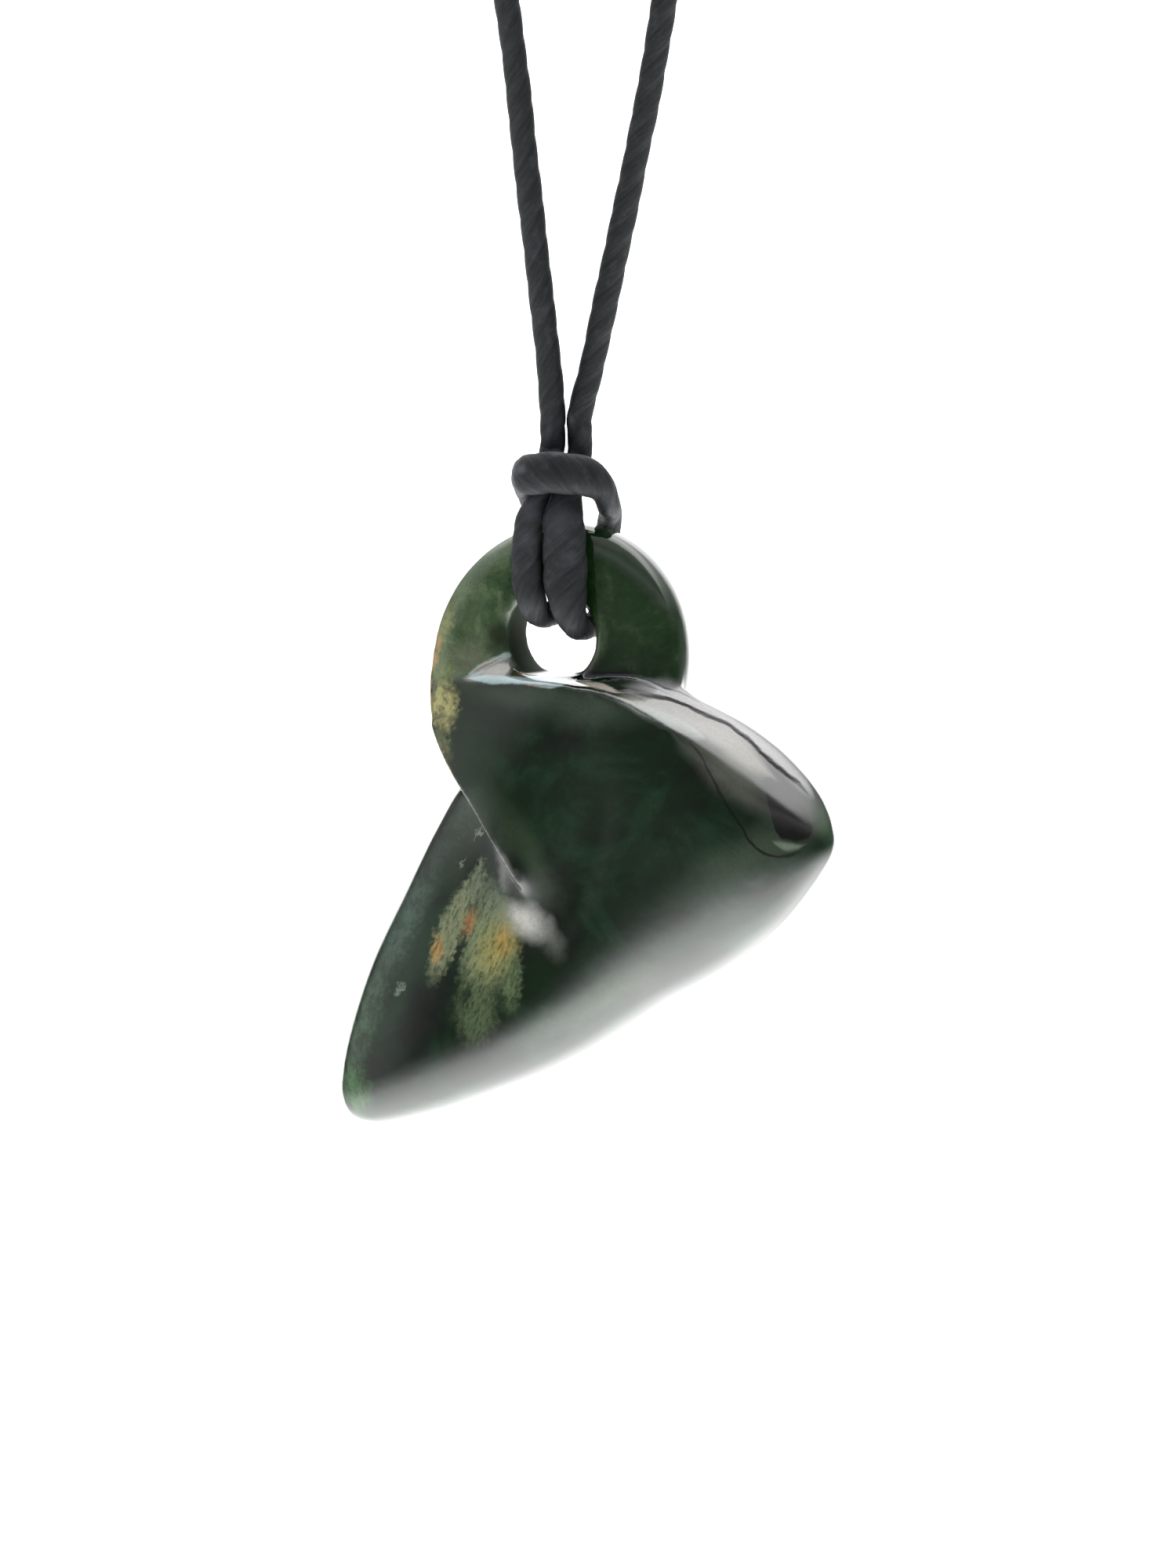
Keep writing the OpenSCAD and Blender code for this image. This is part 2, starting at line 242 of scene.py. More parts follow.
def add_world():
    """A soft studio: lit from below and above, dim in front and on the right, white behind."""
    world = bpy.data.worlds.new("studio")
    bpy.context.scene.world = world
    world.use_nodes = True
    tree = Shader(world.node_tree)
    # Generated coordinates of a world are the direction itself
    right, away, up = tree.split(tree.add("ShaderNodeTexCoord").outputs["Generated"])
    level = tree.level(up, STUDIO_LEVELS)
    # The soft box above reaches forward only a little way
    high = tree.rescale(up, 0.35, 0.6)
    forward = tree.math("MULTIPLY", high, tree.rescale(away, -0.05, -0.45))
    level = tree.math("MULTIPLY", level, tree.math("SUBTRACT", 1.0, tree.math("MULTIPLY", forward, 0.8)))
    # White backdrop and a weaker window on the left
    level = tree.math("MAXIMUM", level, tree.rescale(away, 0.74, 0.86, 0.0, 2.6))
    level = tree.math("MAXIMUM", level, tree.rescale(right, -0.70, -0.98, 0.0, 0.8))
    seen = tree.add("ShaderNodeLightPath").outputs["Is Camera Ray"]
    level = tree.math("ADD", tree.math("MULTIPLY", level, tree.math("SUBTRACT", 1.0, seen)), seen)
    background = tree.nodes["Background"]
    background.inputs["Color"].default_value = (1, 1, 1, 1)
    tree.join(level, background.inputs["Strength"])


def add_floor():
    mesh = bpy.data.meshes.new("floor")
    form = bmesh.new()
    bmesh.ops.create_circle(form, cap_ends=True, segments=64, radius=FLOOR_RADIUS * MM)
    form.to_mesh(mesh)
    form.free()
    floor = bpy.data.objects.new("floor", mesh)
    floor.location = (0.0, 0.0, -FLOOR_DROP * MM)
    material, tree, shader = new_material("pale_floor")
    shader.inputs["Base Color"].default_value = (0.9, 0.9, 0.9, 1)
    shader.inputs["Roughness"].default_value = 0.9
    shader.inputs["Specular IOR Level"].default_value = 0.1
    mesh.materials.append(material)
    bpy.context.collection.objects.link(floor)
    # The table under the pendant is lit from inside, so the light from below passes the floor
    floor.visible_diffuse = False
    floor.visible_glossy = False
    floor.visible_shadow = False


# Stone

# Lines that stay crisp when the stone's surface is polished smooth, as points in millimetres to the
# stone's own right, towards its front and up: the edges of the shelf in front, where it meets the
# ring, the front leg's outer edge, and the same behind
CRISP_LINES = [
    [(-7.8, 1.9, -2.6), (-6.2, 2.4, -3.0), (-4.2, 3.0, -3.0), (-1.2, 4.1, -3.0), (2.2, 4.8, -3.1),
     (5.0, 5.0, -3.8), (7.4, 5.1, -4.6), (9.6, 5.1, -5.8)],
    [(-7.2, 2.1, -2.9), (-5.4, 2.1, -2.7), (-3.6, 2.1, -1.9), (-2.7, 2.1, -2.3), (-1.8, 2.1, -2.7),
     (1.8, 2.1, -2.75), (2.7, 2.1, -3.0), (4.5, 2.1, -2.8), (6.3, 2.1, -2.75), (8.1, 2.1, -3.15),
     (9.0, 2.1, -3.6), (9.2, 1.2, -3.2), (9.2, 0.3, -4.0), (9.2, -0.8, -6.3)],
    [(-8.9, 2.7, -6.6), (-7.4, 3.6, -9.5), (-5.5, 4.1, -12.0), (-3.4, 4.5, -15.0), (-1.8, 4.7, -17.2)],
    [(7.4, -1.9, -2.6), (5.8, -2.4, -3.0), (4.0, -3.0, -3.1), (1.0, -4.1, -3.4), (-2.0, -4.7, -4.9),
     (-4.4, -4.8, -8.1)],
    [(6.5, -2.1, -2.95), (0.9, -2.1, -3.4), (-0.9, -2.1, -4.0), (-2.7, -2.1, -5.3), (-4.5, -2.1, -7.0)],
    [(8.4, -2.8, -7.0), (7.1, -3.6, -9.6), (5.4, -4.2, -12.4), (3.9, -4.5, -15.0)],
]
# Circles that stay crisp: radius and depth
CRISP_CIRCLES = [(3.4, 2.0), (3.4, -2.0)]
# Distances from them within which nothing is polished, and beyond which everything is
CRISP_REACH = (0.2, 1.3)
# How far a surface faces the front or back as it goes from the least polish to the full one, and
# that least share, which the narrow sides get
POLISHED_FACING = (0.55, 0.85)
SIDE_POLISH = 0.3
# Size of the even mesh's cells, and rounds of smoothing all over and then away from crisp lines
VOXEL = 0.21
EVENING_ROUNDS = 4
POLISHING_ROUNDS = 220


def distance_to_line(points, line):
    """Distance from each point to a line through the given places."""
    nearest = np.full(len(points), np.inf)
    for start, end in zip(np.array(line[:-1]), np.array(line[1:])):
        along = end - start
        share = np.clip((points - start) @ along / (along @ along), 0.0, 1.0)
        nearest = np.minimum(nearest, np.linalg.norm(points - start - share[:, None] * along, axis=1))
    return nearest


def smooth_step(values, low, high):
    share = np.clip((values - low) / (high - low), 0.0, 1.0)
    return share * share * (3 - 2 * share)


def apply_modifiers(piece):
    """The piece's mesh with its modifiers worked in."""
    graph = bpy.context.evaluated_depsgraph_get()
    mesh = bpy.data.meshes.new_from_object(piece.evaluated_get(graph), depsgraph=graph)
    piece.modifiers.clear()
    piece.data = mesh


def relax(points, edges, freedom, rounds):
    """Moves each point towards the middle of its neighbours, as far as its freedom lets it."""
    one, other = edges[:, 0], edges[:, 1]
    count = len(points)
    neighbours = np.bincount(one, minlength=count) + np.bincount(other, minlength=count)
    pull = (0.5 * freedom / neighbours)[:, None]
    for _ in range(rounds):
        total = np.stack([
            np.bincount(one, weights=column[other], minlength=count)
            + np.bincount(other, weights=column[one], minlength=count)
            for column in points.T
        ], axis=1)
        points = points + pull * (total - neighbours[:, None] * points)
    return points


def make_stone():
    piece = bpy.data.objects.new("polished_stone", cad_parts["stone"].data.copy())
    piece.data.materials.clear()
    bpy.context.collection.objects.link(piece)
    remesh = piece.modifiers.new("even_mesh", "REMESH")
    remesh.mode = "VOXEL"
    remesh.voxel_size = VOXEL * MM
    apply_modifiers(piece)
    mesh = piece.data

    points = np.empty(len(mesh.vertices) * 3)
    mesh.vertices.foreach_get("co", points)
    points = points.reshape(-1, 3)
    edges = np.empty(len(mesh.edges) * 2, np.int64)
    mesh.edges.foreach_get("vertices", edges)
    edges = edges.reshape(-1, 2)
    normals = np.empty(len(mesh.vertices) * 3)
    mesh.vertices.foreach_get("normal", normals)
    normals = normals.reshape(-1, 3)

    places = stone_coordinates(points)
    circles = [np.hypot(np.hypot(places[:, 0], places[:, 2]) - radius, places[:, 1] - depth)
               for radius, depth in CRISP_CIRCLES]
    away = np.min([distance_to_line(places, line) for line in CRISP_LINES] + circles, axis=0)
    facing = np.abs(normals @ np.array([math.sin(STONE_TURN), math.cos(STONE_TURN), 0.0]))
    polish = SIDE_POLISH + (1 - SIDE_POLISH) * smooth_step(facing, *POLISHED_FACING)
    freedom = smooth_step(away, *CRISP_REACH) * polish
    points = relax(points, edges, np.ones(len(points)), EVENING_ROUNDS)
    points = relax(points, edges, freedom, POLISHING_ROUNDS)
    mesh.vertices.foreach_set("co", points.ravel())
    mesh.update()

    mesh.shade_smooth()
    mesh.materials.append(greenstone())
    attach(piece, "root")
    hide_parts("stone")


# Colours of the stone's markings are written as they are seen from the front, from 0 to 255. This is
# the light that the front gets in the studio, the gloss over it, and the least that is left of a
# colour without that gloss.
FRONT_LIGHT = 1.9
FRONT_GLOSS = 0.011
LEAST_SHOWN = 0.0008

# Depths in the stone, from its back to its front, over which the front's markings come in, and the rind
# with the painted glow of its thin edges
FRONT_DEPTH = (1.5, -0.5)
RIND_AND_EDGE_GLOW_DEPTH = (3.5, 1.5)
# Heights over which the body's green gives way to the ring's
RING_FOOT = (-3.5, -2.6)
# Radii over which the drilled hole's wall gives way to the ring, and heights over which it gives way
# to the hole's flat floor
HOLE_WALL = (3.25, 3.45)
HOLE_FLOOR = (-2.68, -2.5)
# Height of the polish's gentle waves, and how many times higher the ledge along the first dark line is
WAVE_HEIGHT = 0.02
LEDGE_WAVES = 9.0

# Markings are placed as seen from the front, in the photograph's pixels, x to the right and y down.
# Each spot: centre, half length, half width, turn of its length from the right clockwise in degrees,
# softness, strength, colour.
# Yellow and orange rind along the ring's left rim, and green edges below, lighter where painted glow of
# light from behind shines through the thin stone
RIND_AND_BACKLIT_EDGE_SPOTS = [
    (586, 748, 26, 13, 125, 0.7, 0.75, (112, 130, 100)),
    (566, 796, 34, 12, 105, 0.7, 0.80, (146, 148, 98)),
    (554, 832, 24, 7, 98, 0.6, 0.85, (192, 152, 98)),
    (566, 866, 30, 14, 90, 0.7, 0.80, (132, 142, 100)),
    (567, 902, 30, 18, 92, 0.5, 0.95, (186, 182, 122)),
    (546, 884, 40, 5, 90, 0.6, 0.80, (190, 156, 104)),
    (566, 950, 22, 8, 68, 0.7, 0.70, (118, 126, 84)),
    (560, 960, 34, 4, 64, 0.6, 0.80, (186, 146, 96)),
    (586, 1046, 44, 14, 117, 0.9, 0.50, (84, 104, 90)),
    (516, 1180, 96, 17, 115, 0.9, 0.60, (92, 118, 102)),
    (462, 1304, 70, 18, 108, 0.9, 0.60, (88, 118, 92)),
    (452, 1392, 34, 18, 80, 0.9, 0.80, (84, 128, 80)),
]
# Soft clouds on the front, mostly the stone's own mottling; the painted highlight and reflections among
# them are marked below
CLOUD_AND_HIGHLIGHT_SPOTS = [
    (620, 706, 62, 17, 140, 0.8, 0.55, (118, 134, 116)),
    (600, 842, 30, 26, 150, 0.9, 0.55, (126, 126, 110)),
    # Painted highlight on the hole's rounded front edge
    (648, 780, 13, 9, 120, 0.8, 0.60, (100, 114, 90)),
    (634, 812, 22, 15, 60, 0.8, 0.70, (38, 42, 30)),
    (610, 772, 26, 10, 140, 0.9, 0.45, (80, 98, 74)),
    (759, 828, 30, 11, 108, 0.9, 0.70, (98, 114, 88)),
    (800, 770, 60, 26, 70, 1.0, 0.35, (52, 70, 50)),
    (596, 742, 52, 22, 125, 1.0, 0.40, (92, 108, 80)),
    (604, 800, 40, 22, 100, 1.0, 0.35, (86, 100, 74)),
    (742, 902, 74, 26, 8, 1.0, 0.60, (72, 84, 72)),
    (655, 888, 70, 12, 2, 1.0, 0.50, (62, 74, 60)),
    (612, 990, 84, 34, 62, 1.0, 0.60, (32, 50, 32)),
    (672, 1084, 70, 17, 60, 1.0, 0.40, (74, 88, 68)),
    (588, 1070, 60, 24, 118, 1.0, 0.55, (78, 90, 76)),
    (930, 985, 60, 24, 42, 1.0, 0.60, (108, 110, 98)),
    (965, 1088, 110, 30, 150, 1.0, 0.50, (86, 98, 84)),
    (1050, 1050, 24, 12, 80, 0.9, 0.60, (70, 98, 70)),
    (546, 1290, 62, 28, 112, 0.9, 0.90, (10, 22, 14)),
    (690, 1240, 44, 24, 110, 1.0, 0.70, (24, 46, 28)),
    # These four grey and white spots are painted reflections of the bright studio in the hollow at the
    # crossing
    (642, 1108, 30, 8, 78, 0.8, 0.70, (138, 138, 136)),
    (668, 1174, 30, 20, 20, 0.9, 1.00, (204, 204, 198)),
    (700, 1196, 26, 13, 60, 1.0, 0.50, (130, 134, 126)),
    (660, 1130, 17, 8, 60, 0.8, 0.85, (62, 62, 62)),
    (796, 1254, 60, 16, 152, 1.0, 0.30, (110, 128, 100)),
    (700, 1306, 70, 16, 152, 1.0, 0.30, (120, 138, 120)),
]
# The patch of pale jade and rind left of the crossing, whose streaks run down to the left: their
# turn, and their size along it and across
PATCH_TURN = 113
STREAK_SIZE = (15.0, 4.5, 1.0)
PATCH_SPOTS = [
    (610, 1110, 18, 5, 108, 0.5, 0.80, (132, 142, 116)),
    (601, 1136, 34, 12, 118, 0.5, 0.90, (134, 144, 116)),
    (574, 1190, 64, 17, 111, 0.4, 0.95, (142, 150, 116)),
    (626, 1150, 34, 22, 60, 0.6, 0.80, (118, 130, 108)),
    (621, 1208, 62, 34, 100, 0.5, 0.95, (138, 150, 114)),
    (608, 1286, 44, 27, 96, 0.6, 0.85, (98, 114, 84)),
    (652, 1244, 44, 13, 92, 0.7, 0.80, (116, 134, 98)),
    (634, 1208, 38, 24, 118, 0.9, 0.85, (172, 164, 100)),
    (642, 1199, 18, 12, 90, 0.9, 0.80, (190, 158, 92)),
    (599, 1178, 17, 8, 104, 0.8, 0.90, (188, 136, 86)),
    (558, 1210, 18, 7, 100, 0.8, 0.90, (198, 152, 88)),
    (581, 1226, 50, 6, 110, 0.6, 0.90, (28, 40, 32)),
    (594, 1274, 18, 6, 100, 0.7, 0.80, (34, 46, 36)),
    (608, 1064, 10, 2.5, 125, 0.5, 0.80, (150, 158, 140)),
    (590, 1101, 9, 2.5, 125, 0.5, 0.80, (130, 140, 124)),
    (511, 1262, 9, 4, 125, 0.6, 0.80, (132, 146, 130)),
]
# Lines run to the right through points of x, y and width. Each line: its points, softness in
# pixels, strength, colour.
# Pale bands on the shelf and in the crease under the ring: partly the stone's pale tone, partly painted
# highlights and reflections of the bright studio in the polish
PALE_AND_HIGHLIGHT_BANDS = [
    ([(775, 888, 0), (800, 892, 10), (860, 908, 26), (910, 932, 34), (960, 970, 28), (1004, 1010, 0)],
     12, 0.70, (186, 182, 174)),
    ([(770, 874, 0), (830, 880, 16), (900, 898, 26), (965, 940, 32), (1020, 990, 28), (1044, 1030, 0)],
     10, 0.80, (200, 200, 200)),
    ([(770, 889, 0), (800, 898, 8), (840, 914, 14), (880, 934, 16), (908, 946, 0)], 4, 0.70, (176, 186, 178)),
    ([(590, 864, 0), (610, 866, 8), (660, 868, 9), (722, 868, 9), (728, 868, 0)], 2, 0.95, (176, 204, 208)),
    ([(712, 869, 0), (745, 872, 7), (775, 879, 7), (806, 888, 0)], 1.5, 0.90, (222, 212, 200)),
    ([(590, 866, 0), (605, 857, 8), (630, 844, 9), (650, 836, 8), (664, 832, 0)], 2.5, 0.85, (186, 206, 206)),
    ([(600, 862, 0), (622, 856, 10), (650, 849, 16), (664, 850, 0)], 6, 0.60, (176, 170, 166)),
    ([(976, 1068, 0), (990, 1076, 6), (1008, 1080, 8), (1034, 1072, 0)], 3, 0.70, (128, 142, 126)),
]
# Dark lines on the shelf, painted reflections of dark things round the stone drawn as veins; then brown
# and dark lines in the crease under the ring; and last a dark green oval between two of the shelf's
# lines, a painted dark reflection in a facet of the polish. The first line is duller than the polish round
# it and lies on a low ledge.
REFLECTION_AND_CREASE_LINES = [
    ([(772, 880, 0), (800, 883, 5), (830, 888, 7), (858, 894, 5), (892, 909, 6), (927, 924, 6),
      (950, 941, 8), (975, 965, 9), (1000, 987, 9), (1021, 1003, 7), (1038, 1026, 0)],
     1.2, 0.95, (44, 38, 40)),
    ([(800, 864, 0), (812, 866, 2.6), (846, 877, 2.6), (881, 891, 2.2), (906, 911, 0)],
     0.8, 0.80, (64, 70, 96)),
    ([(812, 870, 0), (825, 875, 2), (845, 883, 2), (868, 894, 0)], 0.7, 0.55, (84, 88, 104)),
    ([(718, 875, 0), (725, 876, 2.6), (754, 882, 2.6), (789, 894, 3), (823, 911, 3.4), (853, 930, 3.4),
      (884, 952, 4.5), (904, 986, 7), (927, 1030, 7), (943, 1053, 6), (956, 1074, 5), (973, 1088, 4),
      (991, 1092, 3.6), (1009, 1089, 4), (1026, 1077, 0)], 1.6, 0.85, (16, 26, 20)),
    ([(600, 860, 0), (608, 855, 2.6), (628, 845, 2.6), (654, 830, 0)], 0.8, 0.70, (176, 122, 78)),
    ([(652, 861, 0), (662, 861, 4), (690, 861, 4.5), (733, 859, 4), (738, 859, 0)], 1.2, 0.85, (118, 66, 30)),
    ([(660, 874, 0), (672, 874, 2), (700, 875, 2.2), (728, 876, 0)], 0.7, 0.60, (150, 110, 84)),
    ([(722, 863, 0), (732, 862, 8), (745, 861, 9), (782, 862, 9), (806, 863, 8), (822, 866, 0)],
     2, 0.90, (22, 34, 46)),
    # Painted dark reflection in a facet of the polish near the right tip
    ([(968, 992, 0), (975, 1003, 23), (983, 1020, 53), (992, 1034, 68), (1003, 1039, 63), (1013, 1045, 56),
      (1022, 1050, 42), (1030, 1055, 24), (1036, 1057, 0)], 3, 0.95, (10, 28, 10)),
]


def seen_as(red, green, blue):
    """Base colour that the light on the stone's front shows as this picture colour."""
    shown = [((part / 255 + 0.055) / 1.055) ** 2.4 for part in (red, green, blue)]
    return tuple(max(part - FRONT_GLOSS, LEAST_SHOWN) / FRONT_LIGHT for part in shown)


def front_view(tree, place):
    """Where the photograph shows a place, in its pixels: to the right and down."""
    per_px = 1 / MM / MM_PER_PX
    rise, level = math.sin(CAMERA_RISE), math.cos(CAMERA_RISE)
    across = tree.math("ADD", tree.vector("DOT_PRODUCT", place, (per_px, 0.0, 0.0)),
                       HOLE_PX[0] + NECK_REST[0] / MM_PER_PX)
    down = tree.math("ADD", tree.vector("DOT_PRODUCT", place, (0.0, -rise * per_px, -level * per_px)),
                     HOLE_PX[1] - (NECK_REST[1] * rise + NECK_REST[2] * level) / MM_PER_PX)
    return tree.combine(across, down)


def paint_spots(tree, base, view, spots):
    for x, y, half_length, half_width, turn, soft, strength, colour in spots:
        size = (half_length, half_width, 1.0)
        inside = tree.mapped(view, (x, y, 0.0), math.radians(turn), size, inside=True)
        cover = tree.rescale(tree.vector("LENGTH", inside), 1 - soft, 1 + 0.6 * soft, strength, 0.0)
        base = tree.mix(cover, base, seen_as(*colour))
    return base


# A curve node keeps numbers up to 100, so lines are worked out in hundreds of pixels
CURVE_PX = 100


def line_cover(tree, across, down, points, soft, strength):
    """How much of the surface a line covers, from 0 to its strength, and how far down from it a
    place is.

    Where a line ends, its half width falls below zero by more than its softness, so nothing of it
    is left beyond.
    """
    half_widths = [(x, width / 2 if width else -2 * soft) for x, _, width in points]
    height = tree.curve(across, [(x / CURVE_PX, y / CURVE_PX) for x, y, _ in points])
    reach = tree.curve(across, [(x / CURVE_PX, half / CURVE_PX) for x, half in half_widths])
    below = tree.math("SUBTRACT", down, height)
    off = tree.math("SUBTRACT", tree.math("ABSOLUTE", below), reach)
    return tree.rescale(off, -soft / CURVE_PX, soft / CURVE_PX, strength, 0.0), below


def line_ledge(tree, across, below, points):
    """A low ledge along a line: 0 above it and 1 just below it, fading downwards and to its ends."""
    first, last = points[0][0] / CURVE_PX, points[-1][0] / CURVE_PX
    begun = tree.rescale(across, first, first + 0.6)
    left = tree.rescale(across, last, last - 0.5)
    ledge = tree.math("MULTIPLY", tree.rescale(below, -0.035, 0.035), tree.rescale(below, 0.5, 0.06))
    return tree.math("MULTIPLY", tree.math("MULTIPLY", begun, left), ledge)


def greenstone():
    """Polished nephrite: dark green with paler streaks, a yellow rind and a warm left rim, and painted
    highlights, reflections and glow of light from behind
    """
    material, tree, shader = new_material("greenstone")
    place = tree.add("ShaderNodeTexCoord").outputs["Object"]
    cos, sin = math.cos(STONE_TURN), math.sin(STONE_TURN)
    # The stone's own coordinates in millimetres: to its right, away from its front, and up
    x, y, z = NECK_REST
    stone = tree.mapped(place, (x * cos - y * sin, x * sin + y * cos, z), STONE_TURN, (1 / MM,) * 3)
    right, away, up = tree.split(stone)
    view = front_view(tree, place)
    cloudy_view = tree.wander(view, stone, 0.45, 15.0)
    ragged_view = tree.wander(view, stone, 2.6, 12.0)
    front = tree.rescale(away, *FRONT_DEPTH)

    cloud = tree.noise(stone, 0.16, detail=6.0, roughness=0.62, distortion=0.5)
    base = tree.ramp(cloud, [(0.34, seen_as(14, 32, 22)), (0.5, seen_as(22, 42, 30)),
                             (0.66, seen_as(38, 60, 44))])
    # The ring is thinner and greener, most of all on its left, where the lightening is painted glow of light
    # from behind shining through it
    backlit_leftness = tree.rescale(right, 6.0, -9.0)
    green = tree.math("ADD", tree.noise(stone, 0.42, detail=7.0, roughness=0.66, distortion=0.3),
                      tree.math("MULTIPLY", backlit_leftness, 0.27))
    ring = tree.ramp(green, [(0.42, seen_as(34, 52, 32)), (0.56, seen_as(43, 63, 40)),
                             (0.70, seen_as(66, 86, 60)), (0.86, seen_as(104, 122, 92))])
    base = tree.mix(tree.rescale(up, *RING_FOOT), base, ring)

    # Clouds, with a painted highlight and painted reflections among them
    base = tree.mix(front, base, paint_spots(tree, base, cloudy_view, CLOUD_AND_HIGHLIGHT_SPOTS))
    # The rind's colour, with painted backlight glow on the thin edges below it
    rind_and_edge_glow = paint_spots(tree, base, ragged_view, RIND_AND_BACKLIT_EDGE_SPOTS)
    mottle = tree.rescale(tree.noise(stone, 1.1, detail=7.0, roughness=0.7), 0.38, 0.58, 0.35, 1.0)
    base = tree.mix(tree.math("MULTIPLY", mottle, tree.rescale(away, *RIND_AND_EDGE_GLOW_DEPTH)), base, rind_and_edge_glow)

    streaks = tree.mapped(view, (0.0, 0.0, 0.0), math.radians(PATCH_TURN), STREAK_SIZE, inside=True)
    streaked = tree.rescale(tree.noise(streaks, 1.0, detail=6.0, roughness=0.75), 0.36, 0.56, 0.35, 1.0)
    patch = paint_spots(tree, base, ragged_view, PATCH_SPOTS)
    base = tree.mix(tree.math("MULTIPLY", streaked, front), base, patch)

    per_curve = (1 / CURVE_PX, 1 / CURVE_PX, 0.0)
    waved_view = tree.vector("MULTIPLY", tree.wander(view, stone, 0.9, 3.0), per_curve)
    waved_across, waved_down, _ = tree.split(waved_view)
    lined = base
    # Pale bands, partly painted highlights and reflections
    for points, soft, strength, colour in PALE_AND_HIGHLIGHT_BANDS:
        cover, _ = line_cover(tree, waved_across, waved_down, points, soft, strength)
        lined = tree.mix(cover, lined, seen_as(*colour))
    # Painted dark reflections on the shelf, brown and dark lines in the crease, and the painted dark oval
    for number, (points, soft, strength, colour) in enumerate(REFLECTION_AND_CREASE_LINES):
        cover, below = line_cover(tree, waved_across, waved_down, points, soft, strength)
        lined = tree.mix(cover, lined, seen_as(*colour))
        if number == 0:
            dull_first_line = cover
            lowered = line_ledge(tree, waved_across, below, points)
    base = tree.mix(front, base, lined)
    # The drilled hole's round wall is dark green and not polished
    drilled = tree.rescale(tree.vector("LENGTH", tree.combine(right, up)), *HOLE_WALL, 1.0, 0.0)
    drilled = tree.math("MULTIPLY", drilled, tree.rescale(up, *HOLE_FLOOR))
    base = tree.mix(drilled, base, seen_as(38, 62, 30))
    # Fine grain of the stone
    specks = tree.noise(stone, 5.0, detail=3.0, roughness=0.7)
    grain = tree.rescale(specks, 0.3, 0.7, 0.86, 1.14, smooth=False)
    base = tree.mix(1.0, base, grain, blend="MULTIPLY")
    tree.join(base, shader.inputs["Base Color"])

    smear = tree.rescale(tree.noise(stone, 0.5, detail=3.0), 0.3, 0.7, 0.07, 0.12)
    # The first dark line, a painted dark reflection, is made duller
    rough_first_line = tree.math("MULTIPLY", dull_first_line, front)
    dull = tree.math("MAXIMUM", tree.math("MULTIPLY", rough_first_line, 0.3), drilled)
    tree.join(tree.math("ADD", smear, tree.math("MULTIPLY", dull, 0.85)), shader.inputs["Roughness"])
    shader.inputs["IOR"].default_value = 1.6
    bump = tree.add("ShaderNodeBump")
    bump.inputs["Strength"].default_value = 1.0
    bump.inputs["Distance"].default_value = WAVE_HEIGHT * MM
    # Gentle waves of the polish, and a low ledge down towards the front along the first dark line
    waves = tree.noise(stone, 0.4, detail=2.0)
    ledge = tree.math("MULTIPLY", tree.math("MULTIPLY", lowered, front), LEDGE_WAVES)
    tree.join(tree.math("SUBTRACT", waves, ledge), bump.inputs["Height"])
    tree.join(bump.outputs[0], shader.inputs["Normal"])
    return material


# Cord

# The cord through the hole and round the ring: place, width across and depth, in millimetres
HITCH_ROUTE = [
    (-0.6, -1.5, 14.5, 1.8, 1.8), (-0.6, -1.5, 13.4, 1.8, 1.8), (-0.8, -1.6, 12.2, 1.8, 1.7),
    (-1.0, -1.8, 11.0, 1.7, 1.6), (-1.7, -2.2, 9.5, 1.7, 1.6), (-2.25, -2.5, 8.0, 2.1, 1.6),
    (-2.45, -2.5, 6.0, 2.3, 1.6), (-2.4, -2.6, 4.0, 2.3, 1.6), (-2.1, -2.8, 2.7, 2.2, 1.6),
    (-1.75, -2.4, 1.7, 1.9, 1.7), (-1.05, -1.4, 1.5, 1.8, 1.8), (-0.5, 0.1, 1.6, 1.8, 1.8),
    (0.1, 1.7, 1.7, 1.8, 1.8), (0.4, 2.9, 2.2, 1.8, 1.7), (0.4, 3.45, 3.3, 1.8, 1.7),
    (0.0, 3.6, 4.9, 1.8, 1.7), (-0.9, 3.9, 7.0, 1.8, 1.7), (-1.8, 3.4, 8.8, 1.8, 1.7),
    (-2.4, 2.3, 10.0, 1.9, 1.6), (-2.7, 0.8, 10.8, 2.0, 1.5), (-2.8, -0.9, 11.2, 2.4, 1.4),
    (-2.5, -2.7, 11.4, 2.8, 1.4), (-1.3, -3.6, 11.6, 3.0, 1.5), (0.3, -3.8, 11.6, 3.0, 1.5),
    (1.8, -3.6, 11.3, 2.8, 1.5), (2.8, -2.8, 10.6, 2.2, 1.6), (3.25, -1.3, 9.4, 1.9, 1.7),
    (3.4, 0.2, 8.85, 1.8, 1.7), (3.4, 1.55, 8.25, 1.8, 1.7), (3.3, 2.3, 7.1, 1.8, 1.7),
    (3.1, 2.5, 5.5, 1.8, 1.7), (2.95, 2.5, 3.9, 1.8, 1.7), (2.85, 2.5, 2.4, 1.8, 1.7),
    (2.7, 2.1, 1.2, 1.8, 1.7), (2.35, 1.0, 0.75, 1.8, 1.8), (1.85, -0.6, 0.65, 1.8, 1.8),
    (1.35, -2.3, 0.65, 1.8, 1.8), (0.95, -3.3, 1.0, 1.8, 1.7), (0.5, -3.65, 2.3, 2.3, 1.6),
    (0.3, -3.6, 4.0, 2.8, 1.6), (0.25, -3.55, 6.0, 2.85, 1.6), (0.2, -3.45, 8.0, 2.6, 1.6),
    (0.35, -2.7, 9.5, 2.0, 1.6), (0.85, -1.9, 11.0, 1.7, 1.6), (1.2, -1.6, 12.2, 1.8, 1.7),
    (1.3, -1.5, 13.4, 1.8, 1.8), (1.3, -1.5, 14.5, 1.8, 1.8),
]
# The hitch is pressed flat towards an upright line in its middle, between these heights
HITCH_CORE = (0.3, 0.3)
HITCH_CORE_HEIGHTS = (5.5, 11.0)

